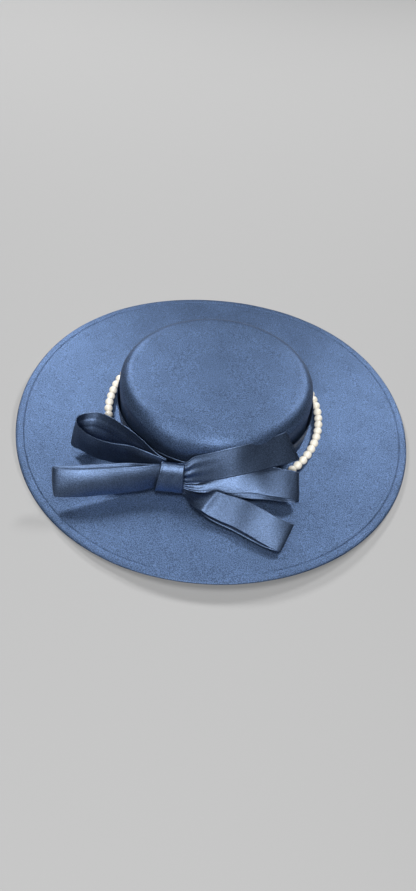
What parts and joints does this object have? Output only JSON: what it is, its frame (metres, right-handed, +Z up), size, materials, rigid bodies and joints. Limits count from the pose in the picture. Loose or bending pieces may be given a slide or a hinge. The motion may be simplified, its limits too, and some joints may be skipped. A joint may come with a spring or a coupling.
{
  "type": "fascinator hat",
  "caption": "Wide-brimmed satin fascinator hat with a shallow round crown, a ribbon band, a string of pearl beads round it and a ribbon bow, held on by a hidden hair comb.",
  "frame": {"origin": "on the surface that the hat rests on, under the middle of its outline", "axes": "+Z up through the crown, -Y towards the bow at the front, +X along the hat's longest width"},
  "size_m": [0.37, 0.36, 0.0644],
  "materials": {
    "crown_satin": "dull satin, fine weave",
    "brim_satin": "dull satin, fine weave",
    "ribbon_satin": "glossy satin",
    "pearl_bead": "pearl lustre",
    "comb_plastic": "smooth"
  },
  "bodies": {
    "root": {"crown": "crown_satin", "brim": "brim_satin", "band": "ribbon_satin", "bead_string": "pearl_bead", "bow_knot": "ribbon_satin", "bow_loop_upper_left": "ribbon_satin", "bow_loop_lower_left": "ribbon_satin", "bow_tail_right": "ribbon_satin", "bow_loop_middle_right": "ribbon_satin", "bow_loop_lower_right": "ribbon_satin", "hair_comb": "comb_plastic"}
  },
  "joints": []
}
